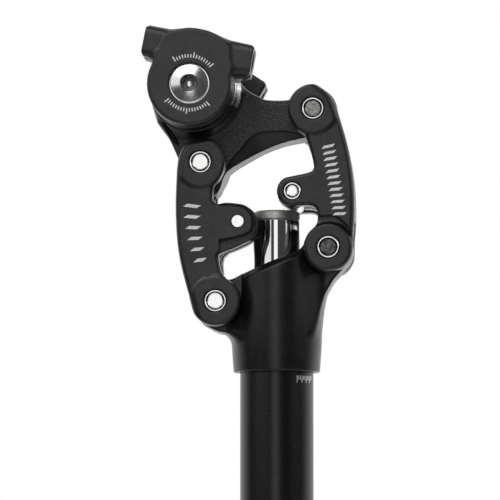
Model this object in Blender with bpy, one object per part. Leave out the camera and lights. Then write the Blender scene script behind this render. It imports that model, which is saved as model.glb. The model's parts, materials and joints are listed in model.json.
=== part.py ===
"""A parallelogram suspension seatpost for a bicycle, with a 27.2 mm tube.

The frame is +X towards the front of the bicycle, +Y to the rider's left and +Z up. The origin is on
the seat tube's axis, at the lower face of the head casting's collar. All lengths are in metres.
"""

from math import cos, pi, radians, sin, tau

import bmesh
import bpy
from mathutils import Matrix, Vector

# Seat tube and the casting around its top end
TUBE_RADIUS = 0.0136
TUBE_WALL = 0.0018
TUBE_BOTTOM = -0.233
SOCKET_DEPTH = 0.0163
COLLAR_RADIUS = 0.0170
COLLAR_FOOT_RADIUS = 0.0160
CASTING_BORE = 0.0099
RIM_REAR = (-0.0180, 0.0338)
RIM_SLOPE = 0.4
SPOT_FACE_RADIUS = 0.0096
SPOT_FACE_HALF = 0.0097

# The four pivots, as (x, z), make an exact parallelogram
REAR_LOWER = Vector((-0.0218, 0.0256))
GROUND_VECTOR = Vector((0.0415, 0.0197))
LINK_VECTOR = Vector((-0.0056, 0.0513))
FRONT_LOWER = REAR_LOWER + GROUND_VECTOR
REAR_UPPER = REAR_LOWER + LINK_VECTOR
FRONT_UPPER = FRONT_LOWER + LINK_VECTOR
ROLLER_CENTRE = Vector((0.0065, 0.0660))
BUMPER_CENTRE = Vector((-0.0136, 0.0549))
BOLT_CENTRE = Vector((-0.0308, 0.1048))

# Widths across the post, each a half width from the middle plane
LUG_HALF = 0.0090
WEB_HALF = 0.0120
LINK_INNER = 0.0100
LINK_OUTER = 0.0180
AXLE_HALF = 0.0177

# Pivots, rings and rollers
AXLE_RADIUS = 0.0031
BUSH_BORE = 0.0032
BUSH_RADIUS = 0.0041
LUG_BORE = 0.00425
LINK_BORE = 0.0032
RING_RADIUS = 0.0040
RING_BORE = 0.0033
RING_SEAT = 0.00425
RING_BACK = 0.0168
RING_FACE = 0.0179
RING_SEAT_BACK = 0.0165
BOSS_RADIUS = 0.0087
ROLLER_RADIUS = 0.0058
ROLLER_HALF = 0.0094
ROLLER_AXLE = 0.0023
ROLLER_RING_RADIUS = 0.0032
ROLLER_RING_BORE = 0.0025
ROLLER_RING_SEAT = 0.00335
BUMPER_PIN = 0.0025
BUMPER_RADIUS = 0.0046

# Plunger and spring
PLUNGER_RADIUS = 0.0086
PLUNGER_TOP = 0.0566
CAP_TOP = 0.0600
FLANGE_TOP = 0.0158
SPRING_TOP = 0.0093
SPRING_BOTTOM = -0.1100
SPRING_RADIUS = 0.0092
SPRING_WIRE = 0.0015
SPRING_TURNS = 14
SPACER_RADIUS = 0.0112
SPACER_WALL = 0.0022
PLUG_TOP = -0.2212
PLUG_HEXAGON = 0.0046

# Saddle clamp, in the clamp's own plane: u runs along the rails and w stands off the bolt. The far
# side hangs loose on the bolt, tilted further forward.
NEAR_TILT = radians(-11)
FAR_TILT = radians(-30.5)
NEAR_REACH = 0.0211
FAR_REACH = 0.0205
CLAMP_RADIUS = 0.0156
BARREL_RADIUS = 0.0155
BARREL_HALF = 0.0115
INNER_CLAMP = (0.0118, 0.0212)
OUTER_CLAMP = (0.0228, 0.0285)
RAIL_HEIGHT = 0.0122
RAIL_Y = 0.0220
GROOVE_RADIUS = 0.00360
BOLT_RADIUS = 0.0040
BOLT_HEAD_RADIUS = 0.0071
BOLT_RECESS = 0.0076
BOLT_HEAD_FACE = 0.0300
BOLT_HEXAGON = 0.0034
NUT_FACE = 0.0295
NUT_SLEEVE_RADIUS = 0.0058

FINE = 32
COARSE = 18

for old in list(bpy.data.objects):
    bpy.data.objects.remove(old)


def material(name, colour, roughness, metallic=0.0):
    made = bpy.data.materials.new(name)
    made.use_nodes = True
    shader = made.node_tree.nodes["Principled BSDF"]
    shader.inputs["Base Color"].default_value = (*colour, 1.0)
    shader.inputs["Roughness"].default_value = roughness
    shader.inputs["Metallic"].default_value = metallic
    return made


BLACK_PAINT = material("black_paint", (0.022, 0.022, 0.024), 0.42)
CLAMP_PAINT = material("clamp_paint", (0.060, 0.060, 0.062), 0.48)
TUBE_ANODISE = material("tube_anodise", (0.025, 0.025, 0.027), 0.35, 0.6)
CHROME = material("chrome", (0.80, 0.80, 0.80), 0.06, 1.0)
BRIGHT_STEEL = material("bright_steel", (0.62, 0.62, 0.60), 0.25, 1.0)
DARK_STEEL = material("dark_steel", (0.22, 0.21, 0.20), 0.45, 1.0)
BRONZE = material("bronze", (0.55, 0.36, 0.16), 0.40, 1.0)
BLACK_RUBBER = material("black_rubber", (0.015, 0.015, 0.015), 0.80)
BLACK_PLASTIC = material("black_plastic", (0.020, 0.020, 0.020), 0.55)


def arc(centre, radius, start, end, steps):
    """Points on a circle, with the angles in degrees."""
    angles = [radians(start + (end - start) * i / steps) for i in range(steps + 1)]
    return [Vector((centre[0] + radius * cos(a), centre[1] + radius * sin(a))) for a in angles]


def smooth(points, steps=3):
    """A Catmull-Rom curve through the points, with its last point left out."""
    points = [Vector(p) for p in points]
    ends = [2 * points[0] - points[1]] + points + [2 * points[-1] - points[-2]]
    curve = []
    for p0, p1, p2, p3 in zip(ends, ends[1:], ends[2:], ends[3:]):
        for i in range(steps):
            t = i / steps
            pull = (p2 - p0) * t + (2 * p0 - 5 * p1 + 4 * p2 - p3) * t**2
            pull += (3 * p1 - p0 - 3 * p2 + p3) * t**3
            curve.append(p1 + pull / 2)
    return curve


def new_object(name, bm, surface=None):
    bmesh.ops.recalc_face_normals(bm, faces=bm.faces)
    mesh = bpy.data.meshes.new(name)
    bm.to_mesh(mesh)
    bm.free()
    made = bpy.data.objects.new(name, mesh)
    bpy.context.scene.collection.objects.link(made)
    if surface:
        mesh.materials.append(surface)
    return made


def prism(outline, near, far, name="piece"):
    """An outline in the XZ plane, given as (x, z), extruded from y = near to y = far."""
    bm = bmesh.new()
    face = bm.faces.new([bm.verts.new((x, near, z)) for x, z in outline])
    swept = bmesh.ops.extrude_face_region(bm, geom=[face])
    verts = [v for v in swept["geom"] if isinstance(v, bmesh.types.BMVert)]
    bmesh.ops.translate(bm, verts=verts, vec=(0, far - near, 0))
    return new_object(name, bm)


def cross_rod(centre, radius, near, far, sides=COARSE, name="rod"):
    """A round bar across the post, along Y."""
    return prism(arc(centre, radius, 0, 360, sides)[:-1], near, far, name)


def cross_ring(centre, radius, bore, near, far, sides=COARSE, name="ring"):
    ring = cross_rod(centre, radius, near, far, sides, name)
    return cut(ring, cross_rod(centre, bore, near - 0.001, far + 0.001, sides))


def turned(profile, sides=FINE, name="turned"):
    """A closed (radius, z) profile turned about the Z axis."""
    bm = bmesh.new()
    rings = []
    for radius, z in profile:
        if radius == 0:
            rings.append([bm.verts.new((0, 0, z))] * sides)
            continue
        turns = [tau * i / sides for i in range(sides)]
        rings.append([bm.verts.new((radius * cos(a), radius * sin(a), z)) for a in turns])
    for lower, upper in zip(rings, rings[1:] + rings[:1]):
        for i in range(sides):
            corners = [lower[i], lower[(i + 1) % sides], upper[(i + 1) % sides], upper[i]]
            corners = list(dict.fromkeys(corners))
            if len(corners) > 2:
                bm.faces.new(corners)
    return new_object(name, bm)


def combine(base, tool, operation):
    """Applies one Boolean to the base and removes the tool."""
    modifier = base.modifiers.new(operation.lower(), "BOOLEAN")
    modifier.operation = operation
    modifier.solver = "EXACT"
    modifier.object = tool
    graph = bpy.context.evaluated_depsgraph_get()
    result = bpy.data.meshes.new_from_object(base.evaluated_get(graph))
    base.modifiers.clear()
    base.data = result
    bpy.data.objects.remove(tool)
    return base


def cut(base, *tools):
    for tool in tools:
        combine(base, tool, "DIFFERENCE")
    return base


def join(base, *tools):
    for tool in tools:
        combine(base, tool, "UNION")
    return base


def pivot(name, centre, parent=None):
    """An empty on a joint's axis, which carries the pieces that move with the joint."""
    made = bpy.data.objects.new(name, None)
    made.empty_display_size = 0.01
    bpy.context.scene.collection.objects.link(made)
    made.matrix_world = Matrix.Translation(centre)
    attach(made, parent)
    return made


def attach(child, parent):
    if parent:
        bpy.context.view_layer.update()
        child.parent = parent
        child.matrix_parent_inverse = parent.matrix_world.inverted()


def finish(piece, name, surface, parent=None, sharp=35):
    piece.name = name
    piece.data.name = name
    piece.data.materials.clear()
    piece.data.materials.append(surface)
    piece.data.shade_smooth()
    piece.data.set_sharp_from_angle(angle=radians(sharp))
    attach(piece, parent)
    return piece


def at(centre):
    return Vector((centre[0], 0, centre[1]))


# ---------------------------------------------------------------- joints' empties

FRONT_LINK_PIVOT = pivot("front_link_pivot", at(FRONT_LOWER))
UPPER_HEAD_PIVOT = pivot("upper_head_pivot", at(FRONT_UPPER), FRONT_LINK_PIVOT)
REAR_LINK_PIVOT = pivot("rear_link_pivot", at(REAR_LOWER))
ROLLER_SPIN = pivot("roller_spin", at(ROLLER_CENTRE), FRONT_LINK_PIVOT)
PLUNGER_SLIDE = pivot("plunger_slide", (0, 0, CAP_TOP))
NEAR_CRADLE_TILT = pivot("near_cradle_tilt", at(BOLT_CENTRE), UPPER_HEAD_PIVOT)
FAR_CRADLE_TILT = pivot("far_cradle_tilt", at(BOLT_CENTRE), UPPER_HEAD_PIVOT)
NEAR_CLAMP_OPEN = pivot("near_clamp_open", at(BOLT_CENTRE), NEAR_CRADLE_TILT)
FAR_CLAMP_OPEN = pivot("far_clamp_open", at(BOLT_CENTRE), FAR_CRADLE_TILT)
BOLT_TURN = pivot("bolt_turn", at(BOLT_CENTRE), NEAR_CLAMP_OPEN)
PRELOAD_SLIDE = pivot("preload_seat_slide", (0, 0, PLUG_TOP))
PRELOAD_TURN = pivot("preload_turn", (0, 0, PLUG_TOP), PRELOAD_SLIDE)


# ---------------------------------------------------------------- tube and casting


def seat_tube():
    inner = TUBE_RADIUS - TUBE_WALL
    top = SOCKET_DEPTH - 0.0003
    tube = turned(
        [
            (TUBE_RADIUS, TUBE_BOTTOM + 0.0008),
            (TUBE_RADIUS, top),
            (inner, top),
            (inner, TUBE_BOTTOM),
            (TUBE_RADIUS - 0.0008, TUBE_BOTTOM),
        ]
    )
    finish(tube, "seat_tube", TUBE_ANODISE)


def casting_rim(height):
    """A block that removes the casting's top above its rim, which rises towards the front."""
    rear, front = -0.030, 0.030
    at_rear = RIM_REAR[1] + RIM_SLOPE * (rear - RIM_REAR[0])
    at_front = RIM_REAR[1] + RIM_SLOPE * (front - RIM_REAR[0])
    outline = [(rear, at_rear), (front, at_front), (front, height), (rear, height)]
    return prism(outline, -0.03, 0.03)


def head_casting():
    body = turned(
        [
            (0, 0),
            (COLLAR_FOOT_RADIUS, 0),
            (COLLAR_RADIUS - 0.0003, 0.0085),
            (COLLAR_RADIUS, 0.0120),
            (COLLAR_RADIUS, 0.0600),
            (0, 0.0600),
        ]
    )
    cut(body, casting_rim(0.070))
    rear = arc(REAR_LOWER, 0.0089, 80, 235, 12)
    rear += [(-0.0242, 0.0161), (-0.0212, 0.0148), (-0.0178, 0.0142)]
    rear += [(-0.0080, 0.0120), (-0.0080, 0.0330)]
    front = arc(FRONT_LOWER, 0.0089, -40, 180, 16)
    front += [(0.0090, 0.0400), (0.0080, 0.0180), (0.0155, 0.0185), (0.0166, 0.0230), (0.0184, 0.0286)]
    front += [(0.0215, 0.0340)]
    join(body, prism(rear, -LUG_HALF, LUG_HALF), prism(front, -LUG_HALF, LUG_HALF))
    for centre in (REAR_LOWER, FRONT_LOWER):
        for side in (-1, 1):
            near, far = sorted((side * SPOT_FACE_HALF, side * 0.0250))
            cut(body, cross_rod(centre, SPOT_FACE_RADIUS, near, far, FINE))
        cut(body, cross_rod(centre, LUG_BORE, -0.012, 0.012))
    bore = turned([(0, 0.0100), (CASTING_BORE, 0.0100), (CASTING_BORE, 0.0700), (0, 0.0700)])
    socket_radius = TUBE_RADIUS + 0.00015
    socket = turned(
        [(0, -0.0010), (socket_radius, -0.0010), (socket_radius, SOCKET_DEPTH), (0, SOCKET_DEPTH)]
    )
    cut(body, socket, bore)
    finish(body, "head_casting", BLACK_PAINT)


def sleeve(name, radius, bore, low, high, surface, parent=None):
    ring = turned([(radius, low), (radius, high), (bore, high), (bore, low)])
    finish(ring, name, surface, parent)


def casting_linings():
    outer = CASTING_BORE - 0.00015
    sleeve("lower_plunger_bush", outer, PLUNGER_RADIUS + 0.0001, 0.0175, 0.0225, BLACK_PLASTIC)
    sleeve("upper_plunger_bush", outer, PLUNGER_RADIUS + 0.0001, 0.0232, 0.0285, BLACK_PLASTIC)
    sleeve("wiper_seal", outer, PLUNGER_RADIUS + 0.0002, 0.0290, 0.0325, BLACK_RUBBER)


def pivot_bush(name, centre, parent=None):
    bush = cross_ring(centre, BUSH_RADIUS, BUSH_BORE, -LUG_HALF, LUG_HALF)
    finish(bush, name, BRONZE, parent)


# ---------------------------------------------------------------- links


def front_plate():
    lower = arc(FRONT_LOWER, BOSS_RADIUS, 168, 365, 18)
    upper = arc(FRONT_UPPER, BOSS_RADIUS, 47, 215, 16)
    lobe = arc(ROLLER_CENTRE, 0.0057, 117, 290, 14)
    outer = [(0.0293, 0.0545), (0.0295, 0.0620), (0.0290, 0.0710), (0.0278, 0.0792)]
    outer += [(0.0259, 0.0872), (0.0236, 0.0948), (0.0218, 0.0996)]
    waist = [(0.0086, 0.0886), (0.0110, 0.0870), (0.0122, 0.0842), (0.0135, 0.0798)]
    waist += [(0.0144, 0.0758), (0.0141, 0.0738), (0.0122, 0.0728), (0.0080, 0.0719)]
    throat = [(0.0128, 0.0607), (0.0152, 0.0595), (0.0158, 0.0565), (0.0152, 0.0528), (0.0129, 0.0503)]
    outline = lower[:-1] + smooth([lower[-1]] + outer + [upper[0]], 2)
    outline += upper[:-1] + smooth([upper[-1]] + waist + [lobe[0]], 2)
    outline += lobe[:-1] + smooth([lobe[-1]] + throat + [lower[0]], 2)
    return outline


def rear_plate():
    lower = arc(REAR_LOWER, BOSS_RADIUS, 205, 424, 20)
    upper = arc(REAR_UPPER, BOSS_RADIUS, -25, 180, 18)
    underarm = [(-0.0197, 0.0364), (-0.0205, 0.0400), (-0.0206, 0.0426), (-0.0183, 0.0439)]
    arm = [(-0.0153, 0.0450), (-0.0116, 0.0467), (-0.0079, 0.0488), (-0.0066, 0.0520), (-0.0065, 0.0555)]
    arm += [(-0.0072, 0.0578), (-0.0086, 0.0593), (-0.0105, 0.0606), (-0.0127, 0.0614)]
    armpit = [(-0.0180, 0.0619), (-0.0213, 0.0614), (-0.0227, 0.0630), (-0.0228, 0.0655)]
    armpit += [(-0.0222, 0.0685), (-0.0207, 0.0703)]
    back = [(-0.0364, 0.0700), (-0.0367, 0.0610), (-0.0363, 0.0500), (-0.0352, 0.0415)]
    back += [(-0.0333, 0.0333), (-0.0311, 0.0259)]
    outline = lower[:-1] + smooth([lower[-1]] + underarm + arm + armpit + [upper[0]], 2)
    outline += upper[:-1] + smooth([upper[-1]] + back + [lower[0]], 2)
    return outline


def link(plate, web, bores, ring_seats):
    """Two side plates joined by a web, drilled for the axles and counterbored for their rings."""
    piece = prism(plate, -LINK_OUTER, -LINK_INNER)
    join(piece, prism(web, -WEB_HALF, WEB_HALF), prism(plate, LINK_INNER, LINK_OUTER))
    for centre, radius in bores:
        cut(piece, cross_rod(centre, radius, -0.020, 0.020))
    for centre, radius in ring_seats:
        cut(piece, cross_rod(centre, radius, -0.020, -RING_SEAT_BACK))
        cut(piece, cross_rod(centre, radius, RING_SEAT_BACK, 0.020))
    return piece


def front_link():
    outside = [(0.0286, 0.0570), (0.0290, 0.0620), (0.0285, 0.0710), (0.0273, 0.0790), (0.0256, 0.0860)]
    inside = [(0.0212, 0.0860), (0.0228, 0.0790), (0.0240, 0.0710), (0.0245, 0.0620), (0.0242, 0.0570)]
    web = smooth(outside) + smooth(inside)
    bores = [(FRONT_LOWER, LINK_BORE), (FRONT_UPPER, LINK_BORE), (ROLLER_CENTRE, ROLLER_AXLE + 0.0001)]
    seats = [(FRONT_LOWER, RING_SEAT), (FRONT_UPPER, RING_SEAT), (ROLLER_CENTRE, ROLLER_RING_SEAT)]
    finish(link(front_plate(), web, bores, seats), "front_link", BLACK_PAINT, FRONT_LINK_PIVOT)


def rear_link():
    web = smooth([(-0.0362, 0.0610), (-0.0358, 0.0500), (-0.0347, 0.0415), (-0.0332, 0.0350)])
    web += smooth([(-0.0288, 0.0370), (-0.0302, 0.0430), (-0.0312, 0.0500), (-0.0317, 0.0610)])
    bores = [(REAR_LOWER, LINK_BORE), (REAR_UPPER, LINK_BORE), (BUMPER_CENTRE, BUMPER_PIN + 0.0001)]
    seats = [(REAR_LOWER, RING_SEAT), (REAR_UPPER, RING_SEAT)]
    finish(link(rear_plate(), web, bores, seats), "rear_link", BLACK_PAINT, REAR_LINK_PIVOT)


def axle_set(name, centre, parent, radius=AXLE_RADIUS, ring=RING_RADIUS, bore=RING_BORE):
    """A plain axle, and a spring ring that holds it at each end."""
    axle = cross_rod(centre, radius, -AXLE_HALF, AXLE_HALF)
    finish(axle, name + "_axle", BRIGHT_STEEL, parent)
    for side, where in ((-1, "near"), (1, "far")):
        near, far = sorted((side * RING_BACK, side * RING_FACE))
        piece = cross_ring(centre, ring, bore, near, far)
        finish(piece, name + "_ring_" + where, BRIGHT_STEEL, parent)


def roller():
    piece = cross_ring(ROLLER_CENTRE, ROLLER_RADIUS, ROLLER_AXLE + 0.0001, -ROLLER_HALF, ROLLER_HALF)
    finish(piece, "roller", BRIGHT_STEEL, ROLLER_SPIN)


def top_out_stop():
    pin = cross_rod(BUMPER_CENTRE, BUMPER_PIN, -0.0178, 0.0178)
    finish(pin, "bumper_pin", BRIGHT_STEEL, REAR_LINK_PIVOT)
    bumper = cross_ring(BUMPER_CENTRE, BUMPER_RADIUS, BUMPER_PIN + 0.00015, -0.0094, 0.0094)
    finish(bumper, "top_out_bumper", BLACK_RUBBER, REAR_LINK_PIVOT)


# ---------------------------------------------------------------- plunger and spring


def plunger():
    hollow, spigot = 0.0060, 0.0041
    rod = turned(
        [
            (PLUNGER_RADIUS, FLANGE_TOP),
            (PLUNGER_RADIUS, PLUNGER_TOP - 0.0004),
            (PLUNGER_RADIUS - 0.0004, PLUNGER_TOP),
            (spigot, PLUNGER_TOP),
            (spigot, 0.0480),
            (hollow, 0.0470),
            (hollow, 0.0030),
            (0.0071, 0.0030),
            (0.0071, SPRING_TOP + 0.0003),
            (0.0114, SPRING_TOP + 0.0003),
            (0.0114, FLANGE_TOP),
        ]
    )
    finish(rod, "plunger", CHROME, PLUNGER_SLIDE)
    cap = turned(
        [
            (0.0039, 0.0500),
            (0.0039, PLUNGER_TOP + 0.0002),
            (PLUNGER_RADIUS - 0.0003, PLUNGER_TOP + 0.0002),
            (PLUNGER_RADIUS, PLUNGER_TOP + 0.0005),
            (PLUNGER_RADIUS, CAP_TOP - 0.0003),
            (PLUNGER_RADIUS - 0.0003, CAP_TOP),
            (0, CAP_TOP),
            (0, 0.0500),
        ]
    )
    finish(cap, "plunger_cap", DARK_STEEL, PLUNGER_SLIDE)


def main_spring():
    """A round-wire coil spring, with the ends left open."""
    per_turn, sides = 12, 5
    low, high = SPRING_BOTTOM + SPRING_WIRE, SPRING_TOP - SPRING_WIRE
    count = SPRING_TURNS * per_turn
    bm = bmesh.new()
    rings = []
    for i in range(count + 1):
        turn = tau * i / per_turn
        outward = Vector((cos(turn), sin(turn), 0))
        centre = SPRING_RADIUS * outward + Vector((0, 0, low + (high - low) * i / count))
        angles = [tau * k / sides for k in range(sides)]
        offsets = [SPRING_WIRE * (outward * cos(a) + Vector((0, 0, sin(a)))) for a in angles]
        rings.append([bm.verts.new(centre + offset) for offset in offsets])
    for one, two in zip(rings, rings[1:]):
        for k in range(sides):
            bm.faces.new([one[k], one[(k + 1) % sides], two[(k + 1) % sides], two[k]])
    bm.faces.new(rings[0][::-1])
    bm.faces.new(rings[-1])
    finish(new_object("main_spring", bm), "main_spring", DARK_STEEL)


def preload_adjuster():
    """A spacer that carries the spring, on a screw plug in the tube's lower end."""
    shelf = SPRING_BOTTOM - 0.0003
    spacer = turned(
        [
            (SPACER_RADIUS, PLUG_TOP + 0.0003),
            (SPACER_RADIUS, shelf),
            (0.0071, shelf),
            (0.0071, shelf + 0.0050),
            (0.0040, shelf + 0.0050),
            (0.0040, shelf - 0.0030),
            (SPACER_RADIUS - SPACER_WALL, shelf - 0.0045),
            (SPACER_RADIUS - SPACER_WALL, PLUG_TOP + 0.0003),
        ]
    )
    finish(spacer, "preload_spacer", BLACK_PLASTIC, PRELOAD_SLIDE)
    radius = TUBE_RADIUS - TUBE_WALL - 0.0002
    bottom = TUBE_BOTTOM + 0.0010
    plug = turned([(0, bottom), (radius, bottom), (radius, PLUG_TOP), (0, PLUG_TOP)])
    low, high = bottom - 0.001, bottom + 0.0070
    hexagon = turned([(0, low), (PLUG_HEXAGON, low), (PLUG_HEXAGON, high), (0, high)], 6)
    finish(cut(plug, hexagon), "preload_plug", BRIGHT_STEEL, PRELOAD_TURN)


# ---------------------------------------------------------------- upper head


def upper_head():
    front = arc(FRONT_UPPER, 0.0089, -95, 140, 18)
    rear = arc(REAR_UPPER, 0.0091, 165, 265, 8)
    top = [(0.0053, 0.1011), (0.0016, 0.1006), (-0.0036, 0.1008), (-0.0059, 0.1019)]
    top += [(-0.0096, 0.1038), (-0.0122, 0.1061), (-0.0144, 0.1088)]
    inside_barrel = [(-0.0200, 0.1120), (-0.0300, 0.1160), (-0.0400, 0.1120), (-0.0438, 0.1000)]
    neck = [(-0.0435, 0.0928), (-0.0411, 0.0892), (-0.0390, 0.0855)]
    tongue = [(-0.0247, 0.0659), (-0.0220, 0.0661), (-0.0204, 0.0685)]
    tongue += [(-0.0192, 0.0722), (-0.0169, 0.0752)]
    arch = [(-0.0113, 0.0787), (-0.0039, 0.0826), (0.0035, 0.0853), (0.0109, 0.0869)]
    outline = front[:-1] + smooth([front[-1]] + top, 2) + inside_barrel
    outline += smooth(neck + [rear[0]], 2) + rear[:-1]
    outline += smooth([rear[-1]] + tongue + arch + [front[0]], 2)
    body = prism(outline, -LUG_HALF, LUG_HALF)
    join(body, cross_rod(BOLT_CENTRE, BARREL_RADIUS, -BARREL_HALF, BARREL_HALF, FINE))
    cut(body, cross_rod(BOLT_CENTRE, BOLT_RADIUS + 0.0004, -0.020, 0.020))
    for centre in (REAR_UPPER, FRONT_UPPER):
        cut(body, cross_rod(centre, LUG_BORE, -0.020, 0.020))
    finish(body, "upper_head", BLACK_PAINT, UPPER_HEAD_PIVOT)


# ---------------------------------------------------------------- saddle clamp


def clamp_to_world(point, tilt):
    """A point in the clamp's plane, turned by the clamp's tilt about the bolt."""
    u, w = point
    x = BOLT_CENTRE[0] + u * cos(tilt) - w * sin(tilt)
    z = BOLT_CENTRE[1] + u * sin(tilt) + w * cos(tilt)
    return Vector((x, z))


def clamp_outline(tilt, reach):
    """A round plate with a low crown and a wing at each side for the saddle rail."""
    disc = arc((0, 0), CLAMP_RADIUS, 157, 382, 28)
    front_wing = [(reach, 0.0066), (reach, 0.0171), (0.0100, 0.0179)]
    crown = [(0.0096, 0.0177), (0.0050, 0.0198), (0.0000, 0.0205), (-0.0050, 0.0198), (-0.0092, 0.0182)]
    rear_wing = [(-0.0168, 0.0188), (-0.0197, 0.0181), (-0.0197, 0.0080), (-0.0189, 0.0070)]
    return [clamp_to_world(p, tilt) for p in disc + front_wing + smooth(crown) + rear_wing]


def rail_groove(y, tilt):
    """A round bar along a saddle rail, which cuts the groove in both halves of a clamp."""
    bm = bmesh.new()
    bmesh.ops.create_cone(
        bm, cap_ends=True, segments=COARSE, radius1=GROOVE_RADIUS, radius2=GROOVE_RADIUS, depth=0.08
    )
    bar = new_object("groove", bm)
    middle = clamp_to_world((0.0, RAIL_HEIGHT), tilt)
    turn = Matrix.Rotation(-tilt, 4, "Y") @ Matrix.Rotation(pi / 2, 4, "Y")
    bar.data.transform(Matrix.Translation((middle[0], y, middle[1])) @ turn)
    return bar


def clamp_piece(side, span):
    """A half of one side's clamp; the near side turns on the bolt and the far side on the nut."""
    near, far = sorted((side * span[0], side * span[1]))
    tilt, reach, pin = (NEAR_TILT, NEAR_REACH, BOLT_RADIUS)
    if side > 0:
        tilt, reach, pin = (FAR_TILT, FAR_REACH, NUT_SLEEVE_RADIUS)
    piece = prism(clamp_outline(tilt, reach), near, far)
    bore = cross_rod(BOLT_CENTRE, pin + 0.0003, -0.05, 0.05)
    return cut(piece, rail_groove(side * RAIL_Y, tilt), bore)


def saddle_clamp():
    finish(clamp_piece(-1, INNER_CLAMP), "near_inner_clamp", CLAMP_PAINT, NEAR_CRADLE_TILT)
    finish(clamp_piece(1, INNER_CLAMP), "far_inner_clamp", CLAMP_PAINT, FAR_CRADLE_TILT)
    near_outer = clamp_piece(-1, OUTER_CLAMP)
    cut(near_outer, cross_rod(BOLT_CENTRE, BOLT_RECESS, -0.0350, -0.0256, FINE))
    finish(near_outer, "near_outer_clamp", CLAMP_PAINT, NEAR_CLAMP_OPEN)
    far_outer = clamp_piece(1, OUTER_CLAMP)
    cut(far_outer, cross_rod(BOLT_CENTRE, BOLT_RECESS, 0.0256, 0.0350, FINE))
    finish(far_outer, "far_outer_clamp", CLAMP_PAINT, FAR_CLAMP_OPEN)


def clamp_fasteners():
    washer = cross_ring(BOLT_CENTRE, 0.0073, BOLT_RADIUS + 0.0003, -0.0265, -0.0258, FINE)
    finish(washer, "bolt_washer", BRIGHT_STEEL, NEAR_CLAMP_OPEN)
    bolt = cross_rod(BOLT_CENTRE, BOLT_HEAD_RADIUS, -BOLT_HEAD_FACE, -0.0268, FINE)
    join(bolt, cross_rod(BOLT_CENTRE, BOLT_RADIUS, -0.0275, 0.0280))
    hexagon = cross_rod(BOLT_CENTRE, BOLT_HEXAGON, -0.0320, -0.0262, 6)
    finish(cut(bolt, hexagon), "clamp_bolt", BRIGHT_STEEL, BOLT_TURN)
    nut = cross_rod(BOLT_CENTRE, NUT_SLEEVE_RADIUS, 0.0140, 0.0270, COARSE)
    join(nut, cross_rod(BOLT_CENTRE, BOLT_HEAD_RADIUS, 0.0260, NUT_FACE, FINE))
    cut(nut, cross_rod(BOLT_CENTRE, BOLT_RADIUS + 0.00015, 0.0, 0.040))
    finish(nut, "clamp_nut", BRIGHT_STEEL, FAR_CLAMP_OPEN)


seat_tube()
head_casting()
casting_linings()
pivot_bush("rear_lower_bush", REAR_LOWER)
pivot_bush("front_lower_bush", FRONT_LOWER)
front_link()
rear_link()
axle_set("front_lower", FRONT_LOWER, FRONT_LINK_PIVOT)
axle_set("front_upper", FRONT_UPPER, FRONT_LINK_PIVOT)
axle_set("roller", ROLLER_CENTRE, FRONT_LINK_PIVOT, ROLLER_AXLE, ROLLER_RING_RADIUS, ROLLER_RING_BORE)
axle_set("rear_lower", REAR_LOWER, REAR_LINK_PIVOT)
axle_set("rear_upper", REAR_UPPER, REAR_LINK_PIVOT)
roller()
top_out_stop()
plunger()
main_spring()
preload_adjuster()
upper_head()
pivot_bush("rear_upper_bush", REAR_UPPER, UPPER_HEAD_PIVOT)
pivot_bush("front_upper_bush", FRONT_UPPER, UPPER_HEAD_PIVOT)
saddle_clamp()
clamp_fasteners()
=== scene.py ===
"""The looks of the suspension seatpost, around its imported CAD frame.

Shapes are worked out in millimetres and turned into metres when a mesh is made. A cast or forged
piece is a signed distance field over a grid, meshed at its zero level, so that its edges and inner
corners have true radii. Fields are negative inside the material.
"""

import json
from math import cos, pi, radians, sin, tau

import bmesh
import bpy
import numpy as np
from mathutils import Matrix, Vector


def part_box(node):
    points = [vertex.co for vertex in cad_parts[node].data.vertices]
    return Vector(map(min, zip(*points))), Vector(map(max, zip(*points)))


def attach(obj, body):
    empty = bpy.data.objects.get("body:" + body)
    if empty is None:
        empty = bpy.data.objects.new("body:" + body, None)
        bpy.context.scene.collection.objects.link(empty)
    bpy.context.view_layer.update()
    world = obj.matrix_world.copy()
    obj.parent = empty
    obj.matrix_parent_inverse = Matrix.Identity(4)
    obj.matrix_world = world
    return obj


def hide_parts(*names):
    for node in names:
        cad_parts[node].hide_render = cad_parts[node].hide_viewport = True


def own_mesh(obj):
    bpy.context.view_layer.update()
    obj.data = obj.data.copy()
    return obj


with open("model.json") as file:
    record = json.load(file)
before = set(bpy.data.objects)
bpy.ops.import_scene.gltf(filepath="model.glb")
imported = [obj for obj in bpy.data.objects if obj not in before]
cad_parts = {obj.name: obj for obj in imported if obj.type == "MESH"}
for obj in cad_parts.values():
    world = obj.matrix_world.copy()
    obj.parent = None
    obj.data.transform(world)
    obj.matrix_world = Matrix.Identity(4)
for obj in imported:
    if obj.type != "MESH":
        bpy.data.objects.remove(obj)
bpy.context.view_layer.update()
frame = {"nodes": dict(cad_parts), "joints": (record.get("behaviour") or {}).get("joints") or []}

MM = 0.001
GRID = 0.34
ROUND = 144

# ---------------------------------------------------------------- places, from the frame

JOINTS = {joint["name"]: joint for joint in frame["joints"]}


def joint_place(name):
    x, _, z = JOINTS[name]["pos_m"]
    return np.array([x, z]) / MM


def node_low_high(name):
    low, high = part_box(name)
    return np.array(low) / MM, np.array(high) / MM


def node_centre(name):
    low, high = node_low_high(name)
    return ((low + high) / 2)[[0, 2]]


FRONT_LOWER = joint_place("front_link_pivot")
FRONT_UPPER = joint_place("upper_head_pivot")
REAR_LOWER = joint_place("rear_link_pivot")
REAR_UPPER = REAR_LOWER + FRONT_UPPER - FRONT_LOWER
ROLLER = joint_place("roller_spin")
BOLT = joint_place("near_cradle_tilt")
BUMPER = node_centre("bumper_pin")
TUBE_RADIUS = node_low_high("seat_tube")[1][0]
TUBE_LOW = node_low_high("seat_tube")[0][2]
TUBE_TOP = node_low_high("seat_tube")[1][2]

# ---------------------------------------------------------------- sizes, in millimetres

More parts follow.
